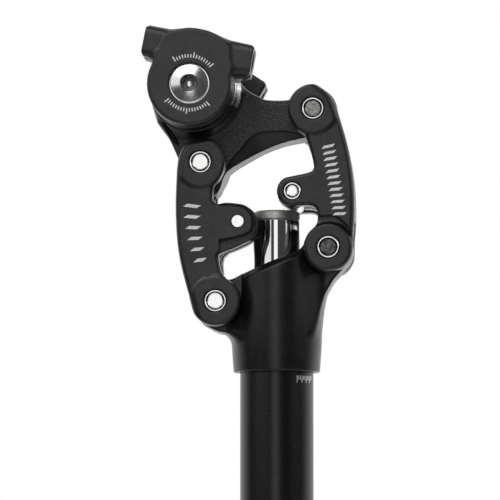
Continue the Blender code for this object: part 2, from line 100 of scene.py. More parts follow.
# distances from the middle plane
LUG_HALF = 9.0
WEB_HALF = 11.0
CLAMP_BARREL_HALF = 11.5
LINK_INNER = 10.0
LINK_FACE = 17.5
LINK_OUTER = 18.0
RING_SEAT_FLOOR = 16.5
INNER_CLAMP = (11.8, 21.2)
OUTER_CLAMP = (22.8, 28.5)
BOLT_RECESS_FLOOR = 25.6
RAIL_CENTRE = 22.0
# radii
COLLAR_RADIUS = 17.0
BOSS_RADIUS = 8.7
LUG_RADIUS = 8.9
PIN_BORE = 3.2
RING_SEAT = 4.25
BUSH_BORE = 4.25
RAIL_GROOVE = 3.6
SPRING_RADIUS = 9.2
WIRE_RADIUS = 1.45
# the clamp: a saddle rail's height above the bolt, and each side's tilt, reach and bolt bore
RAIL_HEIGHT = 12.2
NEAR_TILT, NEAR_REACH, NEAR_BORE = radians(-11), 21.1, 4.3
FAR_TILT, FAR_REACH, FAR_BORE = radians(-30.5), 20.4, 6.1
MARK_LIFT = 0.04

SPRING_TURNS = 14
SEAT_TURNS = 5
HEAD_CENTRE = Vector((-0.010, 0, 0.050))  # in metres, as is the floor
FLOOR_RADIUS = 0.6

# ---------------------------------------------------------------- mesh making


def add_object(name, mesh):
    made = bpy.data.objects.new(name, mesh)
    bpy.context.scene.collection.objects.link(made)
    return made


def mesh_from_bmesh(name, bm, sharp=40):
    bmesh.ops.recalc_face_normals(bm, faces=bm.faces)
    mesh = bpy.data.meshes.new(name)
    bm.to_mesh(mesh)
    bm.free()
    mesh.shade_smooth()
    mesh.set_sharp_from_angle(angle=radians(sharp))
    return add_object(name, mesh)


def dress(piece, surface, body, slot, *nodes):
    """Gives a piece its material and body, and hides the CAD nodes it stands for. The slot is not
    used.
    """
    piece.data.materials.clear()
    piece.data.materials.append(surface)
    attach(piece, body)
    if nodes:
        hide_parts(*nodes)
    return piece


def repaint(piece, surface, chosen):
    """Gives the faces picked by chosen(centres in mm, normals) a second material."""
    mesh = piece.data
    mesh.materials.append(surface)
    centres = np.empty(len(mesh.polygons) * 3, np.float32)
    normals = np.empty(len(mesh.polygons) * 3, np.float32)
    mesh.polygons.foreach_get("center", centres)
    mesh.polygons.foreach_get("normal", normals)
    picked = chosen(centres.reshape(-1, 3) / MM, normals.reshape(-1, 3))
    slots = np.empty(len(mesh.polygons), np.int32)
    mesh.polygons.foreach_get("material_index", slots)
    slots[picked] = len(mesh.materials) - 1
    mesh.polygons.foreach_set("material_index", slots)


def inside_outline(points, outline):
    """Which points, taken in the XZ plane, lie inside a closed outline."""
    x, z = points[:, 0], points[:, 2]
    inside = np.zeros(len(points), bool)
    for (ax, az), (bx, bz) in zip(outline, list(outline[1:]) + [outline[0]]):
        if az != bz:
            crosses = (az > z) != (bz > z)
            inside ^= crosses & (x < (bx - ax) * (z - az) / (bz - az) + ax)
    return inside


class Grid:
    """Three axes of sample points around a box, in millimetres, ready to broadcast."""

    def __init__(self, low, high):
        margin = 2.5 * GRID
        self.low = np.array(low, float) - margin
        counts = np.ceil((np.array(high, float) + margin - self.low) / GRID).astype(int) + 1
        axes = [self.low[i] + GRID * np.arange(counts[i]) for i in range(3)]
        self.x = axes[0].astype(np.float32)[:, None, None]
        self.y = axes[1].astype(np.float32)[None, :, None]
        self.z = axes[2].astype(np.float32)[None, None, :]

    def outline(self, points):
        """Signed distance to a closed outline in the XZ plane."""
        x, z = self.x[:, :, 0:1], self.z[0:1, :, :]
        nearest = np.full((self.x.size, 1, self.z.size), 1e9, np.float32)
        inside = np.zeros(nearest.shape, bool)
        for (ax, az), (bx, bz) in zip(points, list(points[1:]) + [points[0]]):
            ex, ez = bx - ax, bz - az
            length = ex * ex + ez * ez
            if length < 1e-12:
                continue
            t = np.clip(((x - ax) * ex + (z - az) * ez) / length, 0, 1)
            nearest = np.minimum(nearest, (x - ax - t * ex) ** 2 + (z - az - t * ez) ** 2)
            if az != bz:
                crosses = (az > z) != (bz > z)
                inside ^= crosses & (x < ex * (z - az) / ez + ax)
        return np.where(inside, -1, 1) * np.sqrt(nearest)

    def rod(self, centre, radius):
        """A round bar along Y."""
        return np.hypot(self.x - centre[0], self.z - centre[1]) - radius

    def post(self, radius):
        """A round bar along Z, on the tube's axis."""
        return np.hypot(self.x, self.y) - radius

    def across(self, near, far):
        """The slab between two values of y."""
        return np.abs(self.y - (near + far) / 2) - (far - near) / 2

    def mirrored(self, inner, outer):
        """The two slabs between inner and outer on both sides of the middle plane."""
        return np.abs(np.abs(self.y) - (inner + outer) / 2) - (outer - inner) / 2

    def mesh(self, name, field):
        """The closed surface where the field is zero, as a surface net of quads."""
        size = (self.x.size, self.y.size, self.z.size)
        field = np.ascontiguousarray(np.broadcast_to(field, size))
        inside = field < 0
        cells = tuple(n - 1 for n in field.shape)
        filled = np.zeros(cells, np.int8)
        corners = [(i, j, k) for i in (0, 1) for j in (0, 1) for k in (0, 1)]
        for i, j, k in corners:
            filled += inside[i:cells[0] + i, j:cells[1] + j, k:cells[2] + k]
        active = np.argwhere((filled > 0) & (filled < 8))
        number = np.full(cells, -1, np.int64)
        number[tuple(active.T)] = np.arange(len(active))
        total = np.zeros((len(active), 3))
        found = np.zeros(len(active))
        for axis in range(3):
            step = np.eye(3, dtype=int)[axis]
            for corner in corners:
                if corner[axis]:
                    continue
                start = active + corner
                one, two = field[tuple(start.T)], field[tuple((start + step).T)]
                cuts = (one < 0) != (two < 0)
                share = np.where(cuts, one / np.where(cuts, one - two, 1), 0)
                total += cuts[:, None] * (np.array(corner) + share[:, None] * step)
                found += cuts
        points = (self.low + GRID * (active + total / found[:, None])) * MM
        quads = []
        for axis in range(3):
            other, third = (axis + 1) % 3, (axis + 2) % 3
            window = [slice(1, -1)] * 3
            window[axis] = slice(0, -1)
            shifted = [slice(1, -1)] * 3
            shifted[axis] = slice(1, None)
            one, two = inside[tuple(window)], inside[tuple(shifted)]
            base = np.argwhere(one != two)
            filled_first = one[tuple(base.T)]
            offset = np.ones(3, int)
            offset[axis] = 0
            base = base + offset
            back, down = np.eye(3, dtype=int)[other], np.eye(3, dtype=int)[third]
            ring = [base, base - back, base - back - down, base - down]
            ring = np.stack([number[tuple(p.T)] for p in ring], axis=1)
            quads.append(np.where(filled_first[:, None], ring, ring[:, ::-1]))
        return add_object(name, mesh_from_arrays(name, points, np.concatenate(quads)))


def mesh_from_arrays(name, points, quads):
    mesh = bpy.data.meshes.new(name)
    mesh.vertices.add(len(points))
    mesh.vertices.foreach_set("co", points.astype(np.float32).ravel())
    mesh.loops.add(quads.size)
    mesh.loops.foreach_set("vertex_index", quads.astype(np.int32).ravel())
    mesh.polygons.add(len(quads))
    mesh.polygons.foreach_set("loop_start", np.arange(0, quads.size, 4, dtype=np.int32))
    mesh.update(calc_edges=True)
    mesh.validate()
    mesh.shade_smooth()
    return mesh


def both(a, b, radius=0.0):
    """Where two fields overlap, with the outer corner rounded."""
    if not radius:
        return np.maximum(a, b)
    u, v = np.maximum(a + radius, 0), np.maximum(b + radius, 0)
    return np.minimum(-radius, np.maximum(a, b)) + np.hypot(u, v)


def either(a, b, radius=0.0):
    """The union of two fields, with the inner corner filled by a fillet."""
    return -both(-a, -b, radius)


def without(a, b, radius=0.0):
    return both(a, -b, radius)


def chamfered(a, b, width):
    """Where two fields overlap, with the outer corner cut off at 45 degrees."""
    return np.maximum(np.maximum(a, b), (a + b + width) * sin(pi / 4))


def arc(centre, radius, start, end, steps=20):
    """Points on a circle, with the angles in degrees."""
    angles = np.radians(np.linspace(start, end, steps + 1))
    return [(centre[0] + radius * cos(a), centre[1] + radius * sin(a)) for a in angles]


def smooth(points, steps=6):
    """A Catmull-Rom curve through the points, with its last point left out."""
    points = [np.array(p, float) for p in points]
    ends = [2 * points[0] - points[1]] + points + [2 * points[-1] - points[-2]]
    curve = []
    for p0, p1, p2, p3 in zip(ends, ends[1:], ends[2:], ends[3:]):
        for t in np.arange(steps) / steps:
            pull = (p2 - p0) * t + (2 * p0 - 5 * p1 + 4 * p2 - p3) * t**2
            pull = pull + (3 * p1 - p0 - 3 * p2 + p3) * t**3
            curve.append(tuple(p1 + pull / 2))
    return curve


def turned(name, profile, centre=None, sharp=30, hexagons=()):
    """A closed (radius, height) profile turned about Z or, with a centre in XZ, about Y.

    Along Y the height is the distance towards the near side, which is -Y. The points of the
    profile whose numbers are in hexagons are six-sided, with the radius at their corners."""
    bm = bmesh.new()
    rings = []
    for number, (corner, height) in enumerate(profile):
        count = 1 if corner == 0 else ROUND
        ring = []
        for i in range(count):
            a = tau * i / ROUND
            flat = cos(pi / 6) / cos(a % (pi / 3) - pi / 6)
            radius = corner * flat if number in hexagons else corner
            if centre is None:
                place = (radius * cos(a), radius * sin(a), height)
            else:
                place = (centre[0] + radius * cos(a), -height, centre[1] + radius * sin(a))
            ring.append(bm.verts.new(Vector(place) * MM))
        rings.append(ring * (ROUND if count == 1 else 1))
    for lower, upper in zip(rings, rings[1:] + rings[:1]):
        for i in range(ROUND):
            j = (i + 1) % ROUND
            corners = list(dict.fromkeys([lower[i], lower[j], upper[j], upper[i]]))
            if len(corners) > 2:
                bm.faces.new(corners)
    return mesh_from_bmesh(name, bm, sharp)


# ---------------------------------------------------------------- materials


RANGE_ENDS = ("From Min", "From Max", "To Min", "To Max")
MIX_COLOURS = (6, 7)  # the colour inputs of a Mix node, and its colour output
MIX_RESULT = 2


class Nodes:
    """A short way to write a Principled material's nodes."""

    def __init__(self, name):
        self.material = bpy.data.materials.new(name)
        self.material.use_nodes = True
        self.tree = self.material.node_tree
        self.shader = self.tree.nodes["Principled BSDF"]
        self.place = self.add("ShaderNodeTexCoord").outputs["Object"]

    def add(self, kind, **values):
        node = self.tree.nodes.new(kind)
        for key, value in values.items():
            if key in node.inputs:
                node.inputs[key].default_value = value
            else:
                setattr(node, key, value)
        return node

    def link(self, output, target):
        self.tree.links.new(output, target)

    def noise(self, scale, detail=4.0, stretch=(1, 1, 1)):
        mapping = self.add("ShaderNodeMapping")
        mapping.inputs["Scale"].default_value = stretch
        self.link(self.place, mapping.inputs["Vector"])
        node = self.add("ShaderNodeTexNoise", Scale=scale, Detail=detail, Roughness=0.55)
        self.link(mapping.outputs["Vector"], node.inputs["Vector"])
        return node.outputs["Fac"]

    def spread(self, value, low, high, start=0.3, end=0.7):
        """Maps a value from start..end to low..high."""
        node = self.add("ShaderNodeMapRange")
        for key, number in zip(RANGE_ENDS, (start, end, low, high)):
            node.inputs[key].default_value = number
        self.link(value, node.inputs["Value"])
        return node.outputs["Result"]

    def mix(self, share, one, two):
        """Colours or sockets, mixed by a share from 0 to 1."""
        node = self.add("ShaderNodeMix", data_type="RGBA")
        self.link(share, node.inputs["Factor"])
        for key, value in zip(MIX_COLOURS, (one, two)):
            if isinstance(value, tuple):
                node.inputs[key].default_value = (*value, 1)
            else:
                self.link(value, node.inputs[key])
        return node.outputs[MIX_RESULT]

    def bump(self, *heights):
        """Stacks bumps, each (height socket, strength, distance in metres), on the shader."""
        normal = None
        for height, strength, distance in heights:
            node = self.add("ShaderNodeBump", Strength=strength, Distance=distance)
            self.link(height, node.inputs["Height"])
            if normal:
                self.link(normal, node.inputs["Normal"])
            normal = node.outputs["Normal"]
        self.link(normal, self.shader.inputs["Normal"])
        return normal

    def worn_edges(self):
        """Rises from 0 to 1 on outer edges, broken up by noise."""
        geometry = self.add("ShaderNodeNewGeometry")
        pointed = self.spread(geometry.outputs["Pointiness"], 0, 1, 0.53, 0.60)
        broken = self.spread(self.noise(900), 0, 1, 0.45, 0.62)
        product = self.add("ShaderNodeMath", operation="MULTIPLY")
        self.link(pointed, product.inputs[0])
        self.link(broken, product.inputs[1])
        return product.outputs[0]

    def set(self, **values):
        for key, value in values.items():
            socket = self.shader.inputs[key.replace("_", " ")]
            if isinstance(value, tuple):
                socket.default_value = (*value, 1)
            elif isinstance(value, (int, float)):
                socket.default_value = value
            else:
                self.link(value, socket)


def painted_metal(name, dark, light, roughness, coat=0.4):
    """Satin paint over a casting: fine grain, soft mottling and paler worn edges."""
    n = Nodes(name)
    grain = n.noise(2600, 3)
    mottled = n.mix(n.spread(n.noise(140), 0, 1), dark, light)
    speckled = n.mix(n.spread(grain, 0, 0.7, 0.5, 0.72), mottled, tuple(4.5 * c for c in light))
    worn = n.mix(n.worn_edges(), speckled, (0.08, 0.08, 0.082))
    n.set(Base_Color=worn, IOR=1.5, Coat_Roughness=0.2)
    n.set(Roughness=n.spread(n.noise(420), roughness - 0.05, roughness + 0.07))
    n.set(Coat_Weight=n.spread(n.noise(110, 2), 0.75 * coat, 1.2 * coat))
    n.set(Coat_Normal=n.bump((grain, 0.7, 0.00005), (n.noise(300, 2), 0.2, 0.00010)))
    return n.material


def sand_cast(name):
    """Rough blasted paint, as on the sides of the head."""
    n = Nodes(name)
    speckle = n.noise(2100, 3)
    speckled = n.spread(speckle, 0, 1, 0.42, 0.68)
    colour = n.mix(speckled, (0.012, 0.012, 0.013), (0.135, 0.135, 0.137))
    n.set(Base_Color=colour, Roughness=n.spread(n.noise(700), 0.48, 0.6), IOR=1.5)
    n.bump((speckle, 1.0, 0.00012), (n.noise(500, 2), 0.4, 0.0001))
    return n.material


def steel(name, colour, roughness, scratch=0.1, mottle=0.86):
    """Turned or drawn steel, with fine scratches; a low mottle darkens it in patches."""
    n = Nodes(name)
    tone = n.spread(n.noise(1500, 3), 0, 1, 0.38, 0.62)
    mixed = n.mix(tone, tuple(c * mottle for c in colour), colour)
    n.set(Base_Color=mixed, Metallic=1.0)
    n.set(Roughness=n.spread(n.noise(900), roughness * 0.8, roughness * 1.25))
    n.bump((n.noise(1300, 2, (1, 1, 5)), scratch, 0.00003))
    return n.material


def turned_steel(name, colour, roughness, centre):
    """Steel faced on a lathe, with fine grooves round an axis along Y."""
    n = Nodes(name)
    shifted = n.add("ShaderNodeVectorMath", operation="SUBTRACT")
    shifted.inputs[1].default_value = (centre[0] * MM, 0, centre[1] * MM)
    n.link(n.place, shifted.inputs[0])
    flat = n.add("ShaderNodeVectorMath", operation="MULTIPLY")
    flat.inputs[1].default_value = (1, 0, 1)
    n.link(shifted.outputs[0], flat.inputs[0])
    radius = n.add("ShaderNodeVectorMath", operation="LENGTH")
    n.link(flat.outputs[0], radius.inputs[0])
    grooves = n.add("ShaderNodeTexNoise", noise_dimensions="1D", Scale=2600.0, Detail=2.0)
    n.link(radius.outputs["Value"], grooves.inputs["W"])
    n.set(Base_Color=n.mix(grooves.outputs["Fac"], tuple(c * 0.9 for c in colour), colour))
    n.set(Metallic=1.0, Roughness=n.spread(n.noise(900), roughness * 0.8, roughness * 1.25))
    n.bump((grooves.outputs["Fac"], 0.35, 0.00003))
    return n.material


def anodised(name):
    """Satin black anodised tube, with fine marks around it."""
    n = Nodes(name)
    streaks = n.spread(n.noise(90, 3, (1, 1, 0.25)), 0, 1)
    colour = n.mix(streaks, (0.002, 0.002, 0.0022), (0.004, 0.004, 0.0043))
    n.set(Base_Color=colour, Roughness=n.spread(n.noise(900, 3), 0.26, 0.34), IOR=1.55)
    n.bump((n.noise(1400, 2, (1, 1, 6)), 0.3, 0.00003), (n.noise(2600, 3), 0.5, 0.00002))
    return n.material


def chrome(name):
    n = Nodes(name)
    n.set(Base_Color=(0.86, 0.86, 0.87), Metallic=1.0)
    n.set(Roughness=n.spread(n.noise(500, 3, (1, 1, 0.2)), 0.035, 0.08))
    n.bump((n.noise(1200, 2, (1, 1, 8)), 0.05, 0.00002))
    return n.material


def matt(name, dark, light, roughness, scale=700):
    """Rubber or moulded plastic."""
    n = Nodes(name)
    grain = n.noise(scale, 3)
    n.set(Base_Color=n.mix(n.spread(grain, 0, 1), dark, light))
    n.set(Roughness=n.spread(n.noise(300), roughness - 0.06, roughness + 0.06))
    n.bump((grain, 0.3, 0.00005))
    return n.material


def etched(name):
    """Bare pale metal where the paint is lasered away."""
    n = Nodes(name)
    worn = n.spread(n.noise(1500, 4), 0, 1, 0.30, 0.42)
    colour = n.mix(worn, (0.40, 0.40, 0.41), (0.86, 0.86, 0.86))
    n.set(Base_Color=colour, Metallic=0.85, Roughness=0.4)
    n.bump((n.noise(2000, 2), 0.2, 0.00002))
    return n.material


BLACK_PAINT = painted_metal(
    "black_paint_look", (0.003, 0.003, 0.0034), (0.007, 0.007, 0.0075), 0.40)
CASTING_PAINT = painted_metal(
    "casting_paint_look", (0.002, 0.002, 0.0022), (0.004, 0.004, 0.0043), 0.33, coat=0.25)
CLAMP_PAINT = painted_metal(
    "clamp_paint_look", (0.009, 0.009, 0.010), (0.014, 0.014, 0.015), 0.46)
SAND_CAST = sand_cast("sand_cast_look")
ANODISED = anodised("anodised_look")
CHROME = chrome("chrome_look")
BRIGHT_STEEL = steel("bright_steel_look", (0.96, 0.96, 0.95), 0.16, 0.05, mottle=0.93)
GREY_STEEL = steel("grey_steel_look", (0.50, 0.50, 0.49), 0.42, 0.5, mottle=0.45)
DARK_STEEL_AND_SHADE = steel("dark_steel_and_shade_look", (0.24, 0.24, 0.235), 0.45, 0.5, mottle=0.25)
BOLT_STEEL = turned_steel("bolt_steel_look", (0.92, 0.92, 0.91), 0.20, BOLT)
CAP_STEEL = steel("cap_steel_look", (0.78, 0.77, 0.73), 0.48, 0.6, mottle=0.75)
RUBBER = matt("rubber_look", (0.012, 0.012, 0.012), (0.022, 0.022, 0.022), 0.75)
PLASTIC = matt("plastic_look", (0.018, 0.018, 0.018), (0.030, 0.030, 0.030), 0.5)
BARE_METAL_AND_HIGHLIGHT = steel("bare_metal_and_highlight_look", (0.85, 0.85, 0.85), 0.26, 0.3, mottle=0.85)
BRONZE = steel("bronze_look", (0.60, 0.40, 0.20), 0.35)
SPRING_STEEL = steel("spring_look", (0.20, 0.20, 0.21), 0.40, 0.3)
ETCHED = etched("etched_look")

# ---------------------------------------------------------------- links


def front_outline():
    lower = arc(FRONT_LOWER, BOSS_RADIUS, 168, 365, 40)
    upper = arc(FRONT_UPPER, BOSS_RADIUS, 47, 215, 36)
    lobe = arc(ROLLER, 5.7, 117, 290, 30)
    outer = [(29.3, 54.5), (29.47, 62.0), (29.0, 71.0), (27.8, 79.2), (25.9, 87.2), (23.6, 94.8)]
    outer += [(21.8, 99.6)]
    waist = [(8.6, 88.6), (11.0, 87.0), (12.2, 84.2), (13.5, 79.8), (14.4, 75.8), (14.1, 73.8)]
    waist += [(12.2, 72.8), (8.0, 71.9)]
    throat = [(12.8, 60.7), (15.2, 59.5), (15.8, 56.5), (15.2, 52.8), (12.9, 50.3)]
    outline = lower[:-1] + smooth([lower[-1]] + outer + [upper[0]])
    outline += upper[:-1] + smooth([upper[-1]] + waist + [lobe[0]])
    outline += lobe[:-1] + smooth([lobe[-1]] + throat + [lower[0]])
    return outline


def front_outer_edge():
    """The front link's outer edge, closed far to the rear, for rounding only that edge."""
    edge = [(28.6, 38.0), (28.8, 46.0), (29.3, 54.5), (29.5, 62.0), (29.0, 71.0), (27.8, 79.2)]
    edge += [(25.9, 87.2), (23.6, 94.8), (21.0, 101.0), (15.5, 105.6), (8.0, 108.5)]
    return smooth(edge) + [(-20, 112), (-20, 30)]


def rear_outline():
    lower = arc(REAR_LOWER, BOSS_RADIUS, 205, 424, 44)
    upper = arc(REAR_UPPER, BOSS_RADIUS, -25, 180, 40)
    underarm = [(-19.7, 36.4), (-20.5, 40.0), (-20.6, 42.6), (-18.3, 43.9)]
    arm = [(-15.3, 45.0), (-11.6, 46.7), (-7.9, 48.8), (-6.6, 52.0), (-6.5, 55.5)]
    arm += [(-7.2, 57.8), (-8.6, 59.3), (-10.5, 60.6), (-12.7, 61.4)]
    armpit = [(-18.0, 61.9), (-21.3, 61.4), (-22.7, 63.0), (-22.8, 65.5), (-22.2, 68.5)]
    armpit += [(-20.7, 70.3)]
    back = [(-36.4, 70.0), (-36.7, 61.0), (-36.3, 50.0), (-35.2, 41.5), (-33.3, 33.3)]
    back += [(-31.1, 25.9)]
    outline = lower[:-1] + smooth([lower[-1]] + underarm + arm + armpit + [upper[0]])
    outline += upper[:-1] + smooth([upper[-1]] + back + [lower[0]])
    return outline


def rear_outer_edge():
    """The rear link's outer edge, closed far to the front, for rounding only that edge."""
    edge = [(-25.0, 86.5), (-31.5, 85.0), (-35.0, 80.5), (-36.3, 73.0), (-36.7, 61.0)]
    edge += [(-36.3, 50.0), (-35.2, 41.5), (-33.3, 33.3), (-31.3, 26.0), (-29.5, 19.5)]
    edge += [(-27.0, 14.0)]
    return smooth(edge) + [(20, 10), (20, 90)]


def link_body(name, body, g, field, outer_edge, pins):
    """Rounds a link's outer edge, drills it and dresses it.

    Each pin is (centre, bore radius, radius of the seat for its ring or None)."""
    rolled = both(g.outline(outer_edge), np.abs(g.y) - LINK_OUTER, 2.8)
    field = both(field, rolled, 0.3)
    for centre, bore, seat in pins:
        field = without(field, g.rod(centre, bore), 0.15)
        if seat:
            sunk = both(g.rod(centre, seat), RING_SEAT_FLOOR - np.abs(g.y))
            field = without(field, sunk, 0.12)
    piece = g.mesh(name, field)
    dress(piece, BLACK_PAINT, body, "black_paint", body)
    repaint(piece, BARE_METAL_AND_HIGHLIGHT, milled_inside)


def plates_and_web(g, outline, web):
    """A link's two plates, joined by a web where the outline and the web's outline overlap."""
    shape = g.outline(outline)
    plates = both(shape, g.mirrored(LINK_INNER, LINK_FACE), 1.3)
    bridge = both(both(shape, g.outline(web), 0.6), np.abs(g.y) - WEB_HALF)
    return either(plates, bridge, 1.2)


def with_disc(g, field, centre, height):
    """Adds the round boss of a pivot to both plates, up to a distance from the middle plane."""
    disc = both(g.rod(centre, BOSS_RADIUS - 0.1), g.mirrored(LINK_INNER, height), 0.8)
    return either(field, disc, 1.8)


def outer_layer(g, depth):
    """The layer of a link's plates that lies within a depth of their outer faces."""
    return LINK_FACE - depth - np.abs(g.y)


def milled_inside(points, normals):
    """The inner faces of a link's plates, which are milled bare."""
    on_face = np.abs(np.abs(points[:, 1]) - LINK_INNER) < 0.3
    return on_face & (normals[:, 1] * np.sign(points[:, 1]) < -0.8)


def front_link():
    g = Grid((0, -LINK_OUTER, 35), (31, LINK_OUTER, 107))
    web = smooth([(31.0, 56.5), (31.0, 87.0), (30.9, 87.0)], 2)
    web += smooth([(21.5, 86.5), (23.0, 79.0), (24.1, 71.0), (24.6, 62.0), (24.2, 56.8),
                   (24.4, 56.5)])
    field = plates_and_web(g, front_outline(), web)
    # the lower pivot's disc stands below a scooped relief
    relief = smooth([(5.0, 56.4), (15.9, 56.6), (21.5, 56.8), (24.0, 55.6), (26.6, 53.0),
                     (28.6, 49.4), (32, 42)])
    relief = g.outline(relief + [(34, 34), (5, 34)])
    field = without(field, np.maximum(relief, outer_layer(g, 1.9)), 0.4)
    field = with_disc(g, field, FRONT_LOWER, LINK_FACE - 0.2)
    field = with_disc(g, field, FRONT_UPPER, LINK_OUTER)
    pins = [(centre, PIN_BORE, RING_SEAT) for centre in (FRONT_LOWER, FRONT_UPPER)]
    pins.append((ROLLER, 2.4, 3.35))
    link_body("front_link_body", "front_link", g, field, front_outer_edge(), pins)


def rear_link():
    g = Grid((-38, -LINK_OUTER, 16), (-5, LINK_OUTER, 87))
    web = [(-40, 35.0), (-28.6, 36.0), (-30.2, 43.0), (-31.2, 50.0), (-31.7, 61.0), (-40, 61.3)]
    field = plates_and_web(g, rear_outline(), web)
    # the arm's raised face has a lower border around it
    border = g.outline([(-20.4, 63.4), (-20.4, 43.6), (-15.0, 41.0), (-4, 41.0), (-4, 63.4)])
    raised = [(-24.0, 60.4), (-18.0, 60.6), (-12.6, 60.2), (-9.8, 58.6), (-8.3, 56.0), (-8.3, 53.2)]
    raised += [(-9.0, 51.2), (-11.4, 49.9), (-15.0, 49.0), (-19.0, 48.2), (-24.0, 47.6)]
    raised_face = g.outline(smooth(raised) + [(-24.2, 47.6)])
    level = LINK_FACE - 0.45 - 0.35 * np.clip(raised_face, 0, 1.6)
    lowered = np.maximum(np.maximum(border, -raised_face), level - np.abs(g.y))
    field = without(field, lowered, 0.15)
    seam = np.abs(raised_face - 0.2) - 0.35
    field = without(field, np.maximum(seam, np.maximum(border, outer_layer(g, 1.5))))
    # a groove runs round the upper part of the lower pivot's disc
    groove = np.abs(g.rod(REAR_LOWER, 9.3)) - 0.75
    reach = g.outline([(-24.8, 24), (-26.9, 32.0), (-24.8, 34.8), (-16, 34.8), (-8, 24)])
    groove = np.maximum(np.maximum(groove, reach), outer_layer(g, 1.9))
    field = without(field, groove, 0.3)
    for centre in (REAR_LOWER, REAR_UPPER):
        field = with_disc(g, field, centre, LINK_OUTER)
    # the far arm is cut back along its underside
    cut_back = g.outline([(-20.4, 37.0), (-20.4, 44.0), (-18.6, 45.7), (-15.0, 47.1), (-11.3, 48.8),
                          (-8.2, 50.6), (-4.0, 54.0), (-4.0, 37.0)])
    field = without(field, both(cut_back, -g.y), 0.6)
    pins = [(centre, PIN_BORE, RING_SEAT) for centre in (REAR_LOWER, REAR_UPPER)]
    pins.append((BUMPER, 2.35, None))
    link_body("rear_link_body", "rear_link", g, field, rear_outer_edge(), pins)


# ---------------------------------------------------------------- upper head


def upper_head():
    g = Grid((-47, -CLAMP_BARREL_HALF, 64), (24, CLAMP_BARREL_HALF, 121))
    front = arc(FRONT_UPPER, LUG_RADIUS, -95, 140, 40)
    rear = arc(REAR_UPPER, 9.1, 165, 265, 20)
    top = [(5.3, 101.3), (1.6, 101.0), (-3.6, 101.3), (-5.9, 102.4), (-9.6, 104.3), (-12.2, 106.5)]
    top += [(-14.4, 109.0)]
    inside_barrel = [(-20.0, 112.0), (-30.0, 116.0), (-40.0, 112.0), (-43.8, 100.0)]
    neck = [(-43.5, 92.8), (-41.1, 89.2), (-39.0, 85.5)]
    tongue = [(-24.7, 65.9), (-22.0, 66.1), (-20.4, 68.5), (-19.2, 72.2), (-16.9, 75.2)]
    arch = [(-11.3, 78.7), (-3.9, 82.6), (3.5, 85.3), (10.9, 86.9)]
    outline = front[:-1] + smooth([front[-1]] + top) + inside_barrel
    outline += smooth(neck + [rear[0]]) + rear[:-1]
    outline += smooth([rear[-1]] + tongue + arch + [front[0]])
    shape = g.outline(outline)
    field = both(shape, np.abs(g.y) - LUG_HALF, 0.8)
    above = smooth(top[::-1] + [(8.0, 101.9), (14.0, 106.0)])
    crest = g.outline([(-60, 120)] + above + [(40, 120)])
    field = both(field, both(-crest, np.abs(g.y) - LUG_HALF, 2.4))
    # a smooth recess along the arch
    pocket_edge = smooth([(-18.0, 76.0), (-16.5, 78.6), (-13.2, 82.3), (-9.5, 86.7), (-5.0, 88.9),
                          (3.5, 89.3)])
    pocket_edge += smooth([(3.5, 89.3), (7.6, 88.5), (12, 86.6)])
    pocket_edge += [(12, 60), (-18, 60)]
    pocket = g.outline(pocket_edge)
    level = LUG_HALF - 0.9 + 0.25 * np.minimum(pocket, 0)
    field = without(field, np.maximum(pocket, (level - np.abs(g.y)) * 0.95), 0.25)
    barrel_faces = np.abs(g.y) - CLAMP_BARREL_HALF
    field = either(field, both(g.rod(BOLT, 15.5), barrel_faces, 0.5), 4.5)
    field = both(field, barrel_faces)
    field = without(field, g.rod(BOLT, 4.4), 0.3)
    for centre in (REAR_UPPER, FRONT_UPPER):
        field = without(field, g.rod(centre, BUSH_BORE), 0.2)
    # a curved slot is sunk in each side of the neck behind the barrel
    slot = smooth([(-42.2, 93.4), (-40.9, 90.6), (-39.1, 87.7), (-37.2, 85.2), (-35.6, 84.2)])
    slot += smooth([(-35.6, 84.2), (-36.6, 86.0), (-38.1, 88.5), (-39.9, 91.0), (-42.2, 93.4)])
    field = without(field, both(g.outline(slot), 4.0 - np.abs(g.y)), 0.35)
    piece = g.mesh("upper_head_body", field)
    dress(piece, BLACK_PAINT, "upper_head", "black_paint", "upper_head")

    def rough_side(points, normals):
        """The cast side faces, away from the barrel and the recess."""
        far_enough = np.hypot(points[:, 0] - BOLT[0], points[:, 2] - BOLT[1]) > 19.5
        facing = np.abs(normals[:, 1]) > 0.8
        return far_enough & facing & ~inside_outline(points, pocket_edge)

    def highlight_shoulder(points, normals):
        """A band of the fillet in front of the barrel, given bright bare metal as a painted
        highlight.
        """
        away = points - [BOLT[0], 0, BOLT[1]]
        distance = np.hypot(away[:, 0], away[:, 2])
        angle = np.degrees(np.arctan2(away[:, 2], away[:, 0]))
        turning = np.abs(normals[:, 1]) < 0.985
        return (np.abs(distance - 16.7) < 1.3) & (np.abs(angle + 7) < 15) & turning

    repaint(piece, SAND_CAST, rough_side)
    # painted highlight: a band of the fillet beside the barrel gets bright bare metal
    repaint(piece, BARE_METAL_AND_HIGHLIGHT, highlight_shoulder)


# ---------------------------------------------------------------- head casting


